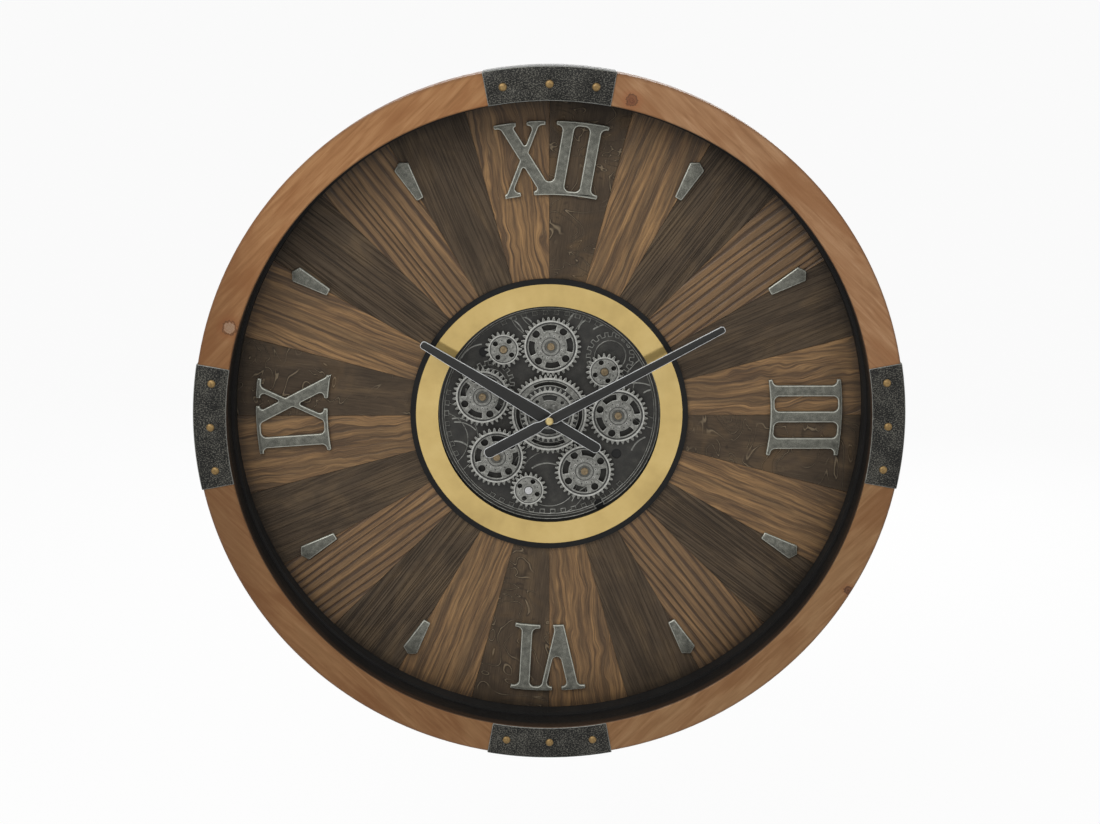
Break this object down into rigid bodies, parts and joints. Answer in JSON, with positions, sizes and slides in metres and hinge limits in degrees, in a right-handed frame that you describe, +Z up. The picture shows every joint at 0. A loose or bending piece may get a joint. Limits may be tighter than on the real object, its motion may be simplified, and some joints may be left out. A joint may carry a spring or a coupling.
{
  "type": "wall clock with open gears",
  "caption": "Round wooden wall clock with a stained veneer dial, raised metal-look numerals and an open window on a train of turning gears.",
  "frame": {"origin": "centre of the hanging hole at 12 o'clock, on the wall face of the back ring", "axes": "the dial faces -Y, +Y points into the wall, +Z is up towards 12 o'clock, +X towards 3 o'clock"},
  "size_m": [0.602, 0.0808, 0.6019],
  "materials": {
    "frame_wood": "clear matt lacquer",
    "back_ring_black": "matt black paint",
    "strap_steel": "antique black, brushed, worn at the edges",
    "nail_brass": "aged",
    "screw_steel": "zinc plated",
    "board_wood": "raw fibreboard",
    "dark_veneer": "brushed, dark stain",
    "light_veneer": "brushed, warm stain",
    "numeral_pewter": "antique pewter",
    "bezel_black": "satin",
    "mirror_gold": "gold",
    "module_black": "satin",
    "relief_gunmetal": "metallised gunmetal",
    "gear_silver": "antique silver",
    "pin_brass": "aged",
    "shaft_steel": "bright",
    "hand_black": "black with bright edges",
    "bush_brass": "satin",
    "movement_black": "fine texture",
    "knob_white": "satin",
    "cell_jacket": "printed sleeve, bare",
    "contact_steel": "nickel plated"
  },
  "bodies": {
    "root": {"back_ring": "back_ring_black", "bezel_screws": "screw_steel", "board_ledge": "back_ring_black", "centre_bush": "bush_brass", "centre_nut": "bush_brass", "dark_staves": "dark_veneer", "dial_board": "board_wood", "dial_screws": "screw_steel", "drive_case": "movement_black", "drive_cells": "cell_jacket", "drive_contacts": "contact_steel", "drive_screws": "screw_steel", "frame_arc_lower_left": "frame_wood", "frame_arc_lower_right": "frame_wood", "frame_arc_upper_left": "frame_wood", "frame_arc_upper_right": "frame_wood", "frame_screws": "screw_steel", "gear_pins": "pin_brass", "hanger_plate": "screw_steel", "hanger_screws": "screw_steel", "hour_bars": "numeral_pewter", "light_staves": "light_veneer", "mirror_ring": "mirror_gold", "module_plate": "module_black", "movement_case": "movement_black", "movement_cell": "cell_jacket", "movement_contacts": "contact_steel", "numeral_nine": "numeral_pewter", "numeral_six": "numeral_pewter", "numeral_three": "numeral_pewter", "numeral_twelve": "numeral_pewter", "pin_sleeves": "module_black", "relief_plate": "relief_gunmetal", "spacer_ring": "module_black", "strap_12": "strap_steel", "strap_3": "strap_steel", "strap_6": "strap_steel", "strap_9": "strap_steel", "strap_nails": "nail_brass", "window_bezel": "bezel_black"},
    "centre_train": {"centre_wheel": "gear_silver", "upper_wheel": "gear_silver"},
    "drive_gear": {"drive_gear": "gear_silver", "drive_shaft": "shaft_steel"},
    "minute": {"minute_hand": "hand_black", "minute_arbor": "shaft_steel", "hand_cap": "bush_brass"},
    "hour": {"hour_hand": "hand_black", "hour_tube": "bush_brass"},
    "setting_knob": {"setting_knob": "knob_white"},
    "battery_lid": {"battery_lid": "movement_black"},
    "power_switch": {"power_switch": "movement_black"},
    "top_gear": {"top_gear": "gear_silver"},
    "right_gear": {"right_gear": "gear_silver"},
    "lower_right_gear": {"lower_right_gear": "gear_silver"},
    "lower_left_gear": {"lower_left_gear": "gear_silver"},
    "left_gear": {"left_gear": "gear_silver"},
    "upper_left_gear": {"upper_left_gear": "gear_silver"},
    "upper_right_gear": {"upper_right_gear": "gear_silver"}
  },
  "joints": [
    {"name": "centre_spin", "type": "hinge", "parent": "root", "child": "centre_train", "pos_m": [0, -0.0322, -0.27975], "axis": [0, 1, 0], "continuous": true},
    {"name": "top_spin", "type": "hinge", "parent": "root", "child": "top_gear", "pos_m": [0.00146, -0.0322, -0.21987], "axis": [0, 1, 0], "continuous": true},
    {"name": "right_spin", "type": "hinge", "parent": "root", "child": "right_gear", "pos_m": [0.05988, -0.0322, -0.28121], "axis": [0, 1, 0], "continuous": true},
    {"name": "lower_right_spin", "type": "hinge", "parent": "root", "child": "lower_right_gear", "pos_m": [0.03085, -0.0322, -0.33109], "axis": [0, 1, 0], "continuous": true},
    {"name": "lower_left_spin", "type": "hinge", "parent": "root", "child": "lower_left_gear", "pos_m": [-0.04589, -0.0322, -0.31825], "axis": [0, 1, 0], "continuous": true},
    {"name": "left_spin", "type": "hinge", "parent": "root", "child": "left_gear", "pos_m": [-0.05786, -0.0322, -0.26425], "axis": [0, 1, 0], "continuous": true},
    {"name": "upper_left_spin", "type": "hinge", "parent": "root", "child": "upper_left_gear", "pos_m": [-0.03936, -0.0322, -0.22236], "axis": [0, 1, 0], "continuous": true},
    {"name": "upper_right_spin", "type": "hinge", "parent": "root", "child": "upper_right_gear", "pos_m": [0.04779, -0.0322, -0.24214], "axis": [0, 1, 0], "continuous": true},
    {"name": "drive_spin", "type": "hinge", "parent": "root", "child": "drive_gear", "pos_m": [-0.0181, -0.0322, -0.34826], "axis": [0, 1, 0], "continuous": true},
    {"name": "minute_spin", "type": "hinge", "parent": "root", "child": "minute", "pos_m": [0, -0.057, -0.27975], "axis": [0, 1, 0], "continuous": true},
    {"name": "hour_spin", "type": "hinge", "parent": "root", "child": "hour", "pos_m": [0, -0.0538, -0.27975], "axis": [0, 1, 0], "continuous": true},
    {"name": "knob_spin", "type": "hinge", "parent": "root", "child": "setting_knob", "pos_m": [0, -0.008, -0.26575], "axis": [0, 1, 0], "continuous": true},
    {"name": "lid_slide", "type": "slide", "parent": "root", "child": "battery_lid", "axis": [1, 0, 0], "range_m": [0, 0.03]},
    {"name": "switch_slide", "type": "slide", "parent": "root", "child": "power_switch", "axis": [1, 0, 0], "range_m": [0, 0.004]}
  ],
  "couplings": [
    {"joint": "top_spin", "follows": "centre_spin", "ratio": -1.4118},
    {"joint": "right_spin", "follows": "centre_spin", "ratio": -1.4118},
    {"joint": "lower_right_spin", "follows": "centre_spin", "ratio": -1.4118},
    {"joint": "lower_left_spin", "follows": "centre_spin", "ratio": -1.4118},
    {"joint": "left_spin", "follows": "centre_spin", "ratio": -1.4118},
    {"joint": "upper_left_spin", "follows": "centre_spin", "ratio": 2.4},
    {"joint": "upper_right_spin", "follows": "centre_spin", "ratio": 2.4},
    {"joint": "drive_spin", "follows": "centre_spin", "ratio": 2.4},
    {"joint": "hour_spin", "follows": "minute_spin", "ratio": 0.083333},
    {"joint": "knob_spin", "follows": "minute_spin", "ratio": -1}
  ]
}
